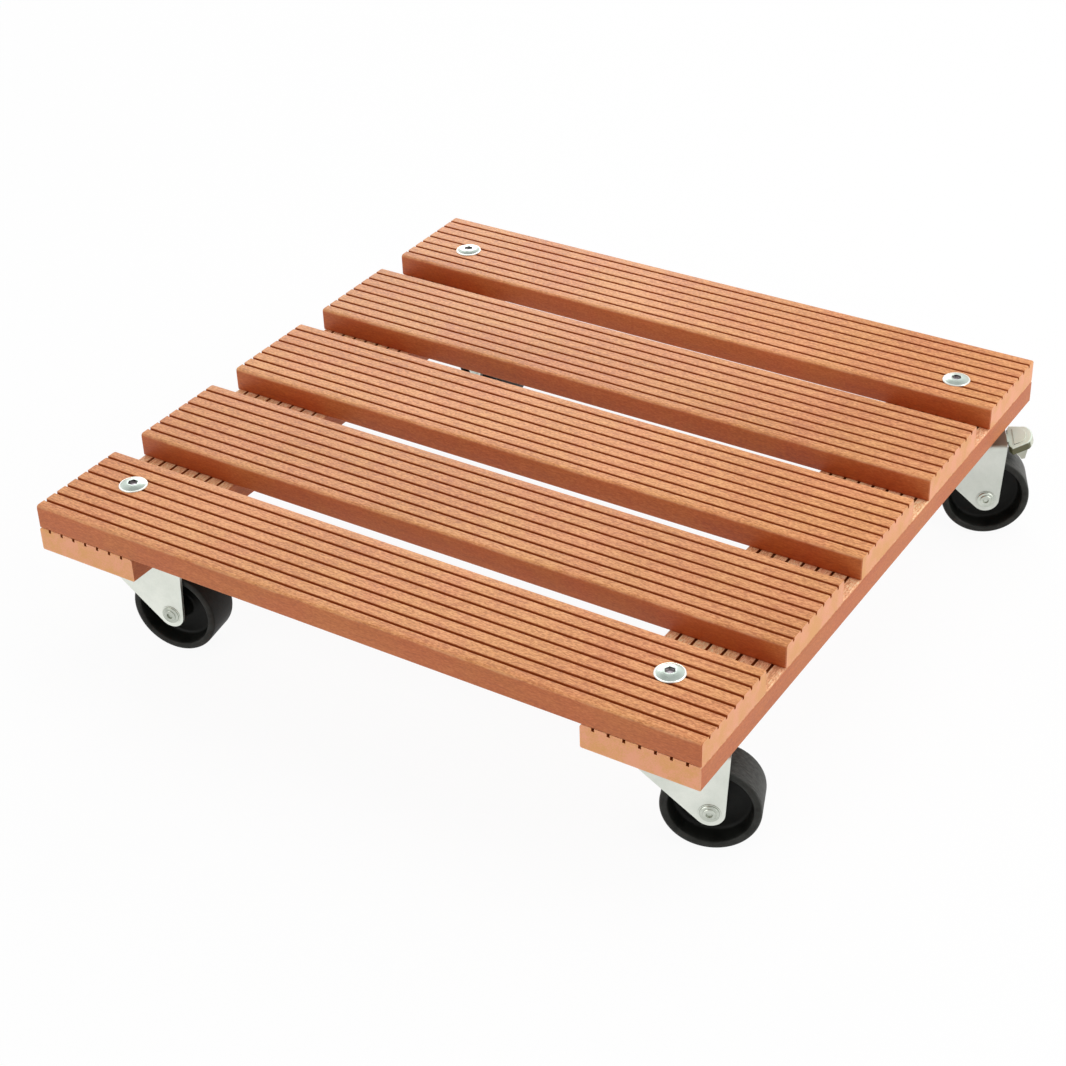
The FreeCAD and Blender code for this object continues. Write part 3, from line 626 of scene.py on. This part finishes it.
def makeSlatTree():
    tree, size = newTree("groovedSlats", slatSizes)
    index = tree.nodes.new("GeometryNodeInputIndex").outputs[0]
    grooveEnd = calc(tree, "MULTIPLY", size["Groove Count"], grooveSteps)
    total = calc(tree, "ADD", grooveEnd, 4 * cornerSteps)
    halfGroove = halved(tree, size["Groove Width"])
    halfWidth = halved(tree, size["Width"])
    halfThickness = halved(tree, size["Thickness"])

    # grooves: four points from either lip to the bottom
    groove = calc(tree, "FLOOR", calc(tree, "DIVIDE", index, grooveSteps))
    step = calc(tree, "SUBTRACT", index, calc(tree, "MULTIPLY", groove, grooveSteps))
    last = grooveSteps - 1
    fromLip = calc(tree, "MINIMUM", step, calc(tree, "SUBTRACT", last, step))
    side = calc(tree, "SIGN", calc(tree, "SUBTRACT", step, last / 2))
    lipReach = calc(tree, "ADD", halfGroove, size["Groove Lip"])
    bottomReach = calc(tree, "SUBTRACT", halfGroove, size["Groove Round"])
    reach = pick(tree, fromLip, [lipReach, halfGroove, halfGroove, bottomReach])
    wallDepth = calc(tree, "SUBTRACT", size["Groove Depth"], size["Groove Round"])
    depth = pick(tree, fromLip, [0.0, size["Groove Lip"], wallDepth, size["Groove Depth"]])
    firstGroove = calc(tree, "MULTIPLY", calc(tree, "SUBTRACT", size["Groove Count"], 1.0), -0.5)
    middle = calc(tree, "MULTIPLY", calc(tree, "ADD", groove, firstGroove), size["Groove Pitch"])
    grooveX = calc(tree, "MULTIPLY_ADD", side, reach, middle)
    grooveY = calc(tree, "SUBTRACT", halfThickness, depth)

    # rounded edges: four corners in turn, clockwise from the upper right
    rest = calc(tree, "SUBTRACT", index, grooveEnd)
    corner = calc(tree, "FLOOR", calc(tree, "DIVIDE", rest, cornerSteps))
    inCorner = calc(tree, "SUBTRACT", rest, calc(tree, "MULTIPLY", corner, cornerSteps))
    turned = calc(tree, "DIVIDE", inCorner, cornerSteps - 1.0)
    quarters = calc(tree, "SUBTRACT", calc(tree, "SUBTRACT", 1.0, corner), turned)
    angle = calc(tree, "MULTIPLY", quarters, math.pi / 2)
    signX = calc(tree, "MULTIPLY_ADD", calc(tree, "GREATER_THAN", corner, 1.5), -2.0, 1.0)
    fromBottom = calc(tree, "ABSOLUTE", calc(tree, "SUBTRACT", corner, 1.5))
    nearBottom = calc(tree, "LESS_THAN", fromBottom, 1.0)
    nearTop = calc(tree, "SUBTRACT", 1.0, nearBottom)
    signY = calc(tree, "MULTIPLY_ADD", nearBottom, -2.0, 1.0)
    rounding = pick(tree, nearBottom, [size["Edge Radius"], size["Base Radius"]])
    coreX = calc(tree, "MULTIPLY", signX, calc(tree, "SUBTRACT", halfWidth, rounding))
    coreY = calc(tree, "MULTIPLY", signY, calc(tree, "SUBTRACT", halfThickness, rounding))
    cornerX = calc(tree, "MULTIPLY_ADD", calc(tree, "COSINE", angle), rounding, coreX)
    cornerY = calc(tree, "MULTIPLY_ADD", calc(tree, "SINE", angle), rounding, coreY)

    # the profile, marked where the grooves get painted shade and edges get rubbed
    inGroove = calc(tree, "LESS_THAN", index, grooveEnd)
    placeX = pick(tree, inGroove, [cornerX, grooveX])
    placeY = pick(tree, inGroove, [cornerY, grooveY])
    dark = calc(tree, "MULTIPLY", inGroove, pick(tree, fromLip, grooveShadeMarks))
    crest = calc(tree, "MULTIPLY", nearTop, calc(tree, "PINGPONG", turned, 0.5))
    rubbed = pick(tree, inGroove, [calc(tree, "MULTIPLY", crest, 2.0), 0.0])
    line = addNode(tree, "GeometryNodeMeshLine", {"Count": total}).outputs[0]
    line = store(tree, line, "groove", dark)
    line = store(tree, line, "edge", rubbed)
    profile = drawCurve(tree, line, combine(tree, placeX, placeY, 0.0), True)

    # path with a short step at each end, where the sawn edge is eased
    end = halved(tree, size["Length"])
    eased = calc(tree, "SUBTRACT", end, size["End Bevel"])
    stations = [calc(tree, "MULTIPLY", end, -1.0), calc(tree, "MULTIPLY", eased, -1.0), eased, end]
    line = addNode(tree, "GeometryNodeMeshLine", {"Count": len(stations)}).outputs[0]
    path = drawCurve(tree, line, combine(tree, 0.0, 0.0, pick(tree, index, stations)), False)
    shrink = calc(tree, "SUBTRACT", 1.0, calc(tree, "DIVIDE", size["End Bevel"], halfWidth))
    swell = pick(tree, index, [shrink, 1.0, 1.0, shrink])
    values = {"Curve": path, "Profile Curve": profile, "Scale": swell, "Fill Caps": True}
    plank = addNode(tree, "GeometryNodeCurveToMesh", values).outputs[0]

    # lay the plank down: drawn along Z, it comes to lie along X with its grooves up
    where = split(tree, tree.nodes.new("GeometryNodeInputPosition").outputs[0])
    plank = movePoints(tree, plank, combine(tree, where["Z"], where["X"], where["Y"]))
    firstSlat = calc(tree, "MULTIPLY", calc(tree, "SUBTRACT", size["Slat Count"], 1.0), -0.5)
    firstSlat = calc(tree, "MULTIPLY", firstSlat, size["Slat Pitch"])
    rows = addNode(tree, "GeometryNodeMeshLine", {
        "Count": size["Slat Count"],
        "Start Location": combine(tree, 0.0, firstSlat, size["Slat Middle Height"]),
        "Offset": combine(tree, 0.0, size["Slat Pitch"], 0.0),
    }).outputs[0]
    slats = addNode(tree, "GeometryNodeInstanceOnPoints", {"Points": rows, "Instance": plank}).outputs[0]
    tone = addNode(tree, "FunctionNodeRandomValue", {"Seed": size["Tone Seed"]}, data_type="FLOAT").outputs[1]
    slats = store(tree, slats, "plankTone", tone, "FLOAT", "INSTANCE")
    closeTree(tree, slats, slatFinish, slatCrease)
    return tree


deckSlats = growPiece("deckSlats", makeSlatTree(), slatSizes)
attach(deckSlats, "deck")
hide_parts("front_slat", "front_inner_slat", "middle_slat", "back_inner_slat", "back_slat")
print("slats:", len(deckSlats.data.polygons), "faces")


# the four wheels: one moulded section turned about the axle
wheelSizes = {
    "Bore": 3.6 * mm,
    "Hub Radius": 6.4 * mm,
    "Hub Half": 11.65 * mm,
    "Hub Foot": 7.1 * mm,
    "Web Half": 1.7 * mm,
    "Web Rim": 19.8 * mm,
    "Rim Inner": 20.9 * mm,
    "Rim Half": 11.2 * mm,
    "Tread Radius": 25.0 * mm,
    "Segments": 96,
    "Axle Place": (0.0, 0.0, 0.0),
    "Turn": 0.0,
    "Tread Wear And Light": 1.0,
}
wheelFillets = [0.25 * mm, 0.5 * mm, 1.6 * mm, 2.2 * mm, 1.5 * mm, 1.8 * mm]     # from the bore outwards
filletSteps = 5
wheelCrease = 40     # degrees
# lighter treads are partly wear, partly painted sheen on the lit wheels; the front left, in shade, is painted
# darkest
treadWearAndLight = {"front_left": 0.08, "front_right": 0.55, "back_left": 0.5, "back_right": 1.0}


def makeWheelTree():
    tree, size = newTree("turnedWheel", wheelSizes)
    index = tree.nodes.new("GeometryNodeInputIndex").outputs[0]
    count = 2 * len(wheelFillets)
    mirrored = calc(tree, "SUBTRACT", count - 1.0, index)
    fromBore = calc(tree, "MINIMUM", index, mirrored)
    side = calc(tree, "SIGN", calc(tree, "SUBTRACT", mirrored, index))
    radii = ("Bore", "Hub Radius", "Hub Foot", "Web Rim", "Rim Inner", "Tread Radius")
    halves = ("Hub Half", "Hub Half", "Web Half", "Web Half", "Rim Half", "Rim Half")
    radius = pick(tree, fromBore, [size[key] for key in radii])
    halfWidth = pick(tree, fromBore, [size[key] for key in halves])
    fillet = pick(tree, fromBore, wheelFillets)

    # the section is drawn from the hub's radius, where the turning path runs
    fromHub = calc(tree, "SUBTRACT", radius, size["Hub Radius"])
    section = combine(tree, fromHub, calc(tree, "MULTIPLY", side, halfWidth), 0.0)
    line = addNode(tree, "GeometryNodeMeshLine", {"Count": count}).outputs[0]
    profile = drawCurve(tree, line, section, True)
    values = {"Curve": profile, "Count": filletSteps, "Radius": fillet, "Limit Radius": True}
    profile = addNode(tree, "GeometryNodeFilletCurve", values, mode="POLY").outputs[0]
    values = {"Resolution": size["Segments"], "Radius": size["Hub Radius"]}
    path = addNode(tree, "GeometryNodeCurvePrimitiveCircle", values).outputs[0]
    values = {"Curve": path, "Profile Curve": profile}
    wheel = addNode(tree, "GeometryNodeCurveToMesh", values).outputs[0]

    # the finish reads each point's place before the wheel goes to its axle
    where = tree.nodes.new("GeometryNodeInputPosition").outputs[0]
    wheel = store(tree, wheel, "wheelPoint", where, "FLOAT_VECTOR")
    wheel = store(tree, wheel, "treadWearAndLight", size["Tread Wear And Light"])
    angles = combine(tree, -math.pi / 2, 0.0, size["Turn"])
    turn = addNode(tree, "FunctionNodeEulerToRotation", {0: angles}).outputs[0]
    values = {"Geometry": wheel, "Translation": size["Axle Place"], "Rotation": turn}
    wheel = addNode(tree, "GeometryNodeTransform", values).outputs[0]
    closeTree(tree, wheel, wheelFinish, wheelCrease)
    return tree


wheelTree = makeWheelTree()
for corner in cornerNames:
    joint = rollJoints[corner + "_wheel"]
    sizes = dict(wheelSizes)
    sizes["Axle Place"] = tuple(joint["pos_m"])
    sizes["Turn"] = math.atan2(-joint["axis"][0], joint["axis"][1])
    sizes["Tread Wear And Light"] = treadWearAndLight[corner]
    wheel = growPiece(corner + "_mouldedWheel", wheelTree, sizes)
    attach(wheel, corner + "_wheel")
    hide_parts(corner + "_wheel")
print("wheels:", len(cornerNames))


# CAD pieces that stay: each takes the finish of its material slot, or one of its own
for subpart in frame["record"]["subparts"]:
    finish = slotFinishes.get(subpart["material_slot"])
    for ending, ownFinish in ownFinishes.items():
        if subpart["node"].endswith(ending):
            finish = ownFinish
    if finish:
        for slot in nodes[subpart["node"]].material_slots:
            slot.material = finish
print("CAD pieces dressed")


# floor, light and camera
stageLook = {
    "floorSize": 12.0,
    "floorDrop": 0.3 * mm,
    "floorTones": (0.96, 0.98),
    "floorCloud": 3.0,
    "floorRoughness": 0.9,
    "floorSpecular": 0.1,
    "floorGlow": 0.94,              # share of plain white that the camera and reflections see
    "skyStrength": 0.37,
    "zenithLevel": 0.55,            # the sky that reflections see is darker overhead
    "zenithFrom": (0.45, 0.95),     # upward part of the direction
    "aimHeight": 60 * mm,           # of the point that the softboxes face
}
softboxes = {
    "overheadSoftbox": {"place": (0.10, 0.45, 1.60), "size": 1.3, "power": 8.8, "mirrored": False},
    "rightSoftbox": {"place": (1.60, 0.15, 0.95), "size": 1.1, "power": 9.3, "mirrored": True},
    "fillSoftbox": {"place": (1.25, 1.35, 0.90), "size": 0.9, "power": 7.4, "mirrored": False},
    "backSoftbox": {"place": (-1.30, 1.80, 1.05), "size": 1.1, "power": 12.5, "mirrored": True},
    "frontSoftbox": {"place": (-0.70, -1.80, 0.85), "size": 1.2, "power": 8.5, "mirrored": True},
}
cameraLook = {
    "azimuth": 33.159,
    "elevation": 33.578,
    "roll": -2.055,
    "place": (0.54967, -0.86775, 0.71011),
    "lens": 72.987,
    "sensor": 36.0,
}


def seenDirectly(tree):
    path = tree.nodes.new("ShaderNodeLightPath")
    seen = calc(tree, "MAXIMUM", path.outputs["Is Camera Ray"], path.outputs["Is Glossy Ray"])
    return calc(tree, "MAXIMUM", seen, path.outputs["Is Transmission Ray"])


def mixShaders(tree, factor, first, second):
    values = {0: factor, 1: first.outputs[0], 2: second.outputs[0]}
    return addNode(tree, "ShaderNodeMixShader", values)


def makeFloor():
    reach = stageLook["floorSize"] / 2
    drop = -stageLook["floorDrop"]
    corners = [(-reach, -reach, drop), (reach, -reach, drop), (reach, reach, drop), (-reach, reach, drop)]
    mesh = bpy.data.meshes.new("paleFloor")
    mesh.from_pydata(corners, [], [(0, 1, 2, 3)])
    floor = bpy.data.objects.new("paleFloor", mesh)
    bpy.context.collection.objects.link(floor)
    material, tree, shader = newFinish("paleFloorPaint")
    cloud = noise(tree, objectPoint(tree), stageLook["floorCloud"], 2.0)
    colour = ramp(tree, cloud, (0.3, 0.7), [(tone, tone, tone) for tone in stageLook["floorTones"]])
    tree.links.new(colour, shader.inputs["Base Color"])
    shader.inputs["Roughness"].default_value = stageLook["floorRoughness"]
    shader.inputs["Specular IOR Level"].default_value = stageLook["floorSpecular"]
    glow = addNode(tree, "ShaderNodeEmission", {"Strength": 1.0})
    factor = calc(tree, "MULTIPLY", seenDirectly(tree), stageLook["floorGlow"])
    mixed = mixShaders(tree, factor, shader, glow)
    # clear from below, so that the underside can be looked at
    fromBelow = tree.nodes.new("ShaderNodeNewGeometry").outputs["Backfacing"]
    mixed = mixShaders(tree, fromBelow, mixed, tree.nodes.new("ShaderNodeBsdfTransparent"))
    tree.links.new(mixed.outputs[0], tree.nodes["Material Output"].inputs["Surface"])
    mesh.materials.append(material)


def makeSky():
    world = bpy.data.worlds.new("studioSky")
    bpy.context.scene.world = world
    world.use_nodes = True
    tree = world.node_tree
    tree.nodes.clear()
    white = (1, 1, 1, 1)
    soft = addNode(tree, "ShaderNodeBackground", {"Color": white, "Strength": stageLook["skyStrength"]})
    lift = split(tree, addNode(tree, "ShaderNodeTexCoord").outputs["Generated"])["Z"]
    overhead = spread(tree, lift, *stageLook["zenithFrom"], 1.0, stageLook["zenithLevel"])
    cameraRay = tree.nodes.new("ShaderNodeLightPath").outputs["Is Camera Ray"]
    level = calc(tree, "MAXIMUM", cameraRay, overhead)
    bright = addNode(tree, "ShaderNodeBackground", {"Color": white, "Strength": level})
    mixed = mixShaders(tree, seenDirectly(tree), soft, bright)
    out = tree.nodes.new("ShaderNodeOutputWorld")
    tree.links.new(mixed.outputs[0], out.inputs["Surface"])


def makeSoftboxes():
    target = Vector((0, 0, stageLook["aimHeight"]))
    for name, box in softboxes.items():
        lamp = bpy.data.lights.new(name, "AREA")
        lamp.shape = "SQUARE"
        lamp.size = box["size"]
        lamp.energy = box["power"]
        lampObject = bpy.data.objects.new(name, lamp)
        bpy.context.collection.objects.link(lampObject)
        lampObject.visible_glossy = box["mirrored"]
        place = Vector(box["place"])
        aim = (target - place).to_track_quat("-Z", "Y").to_matrix().to_4x4()
        lampObject.matrix_world = Matrix.Translation(place) @ aim


def makeCamera():
    azimuth = math.radians(cameraLook["azimuth"])
    elevation = math.radians(cameraLook["elevation"])
    roll = math.radians(cameraLook["roll"])
    level = math.cos(elevation)
    back = Vector((math.sin(azimuth) * level, -math.cos(azimuth) * level, math.sin(elevation)))
    right = Vector((0, 0, 1)).cross(back).normalized()
    up = back.cross(right)
    rolledRight = math.cos(roll) * right + math.sin(roll) * up
    rolledUp = math.cos(roll) * up - math.sin(roll) * right
    data = bpy.data.cameras.new("photoCamera")
    data.sensor_width = cameraLook["sensor"]
    data.lens = cameraLook["lens"]
    camera = bpy.data.objects.new("photoCamera", data)
    bpy.context.collection.objects.link(camera)
    turned = Matrix((rolledRight, rolledUp, back)).transposed().to_4x4()
    camera.matrix_world = Matrix.Translation(cameraLook["place"]) @ turned
    bpy.context.scene.camera = camera


makeFloor()
makeSky()
makeSoftboxes()
makeCamera()
bpy.context.scene.view_settings.view_transform = "Standard"
print("stage ready")
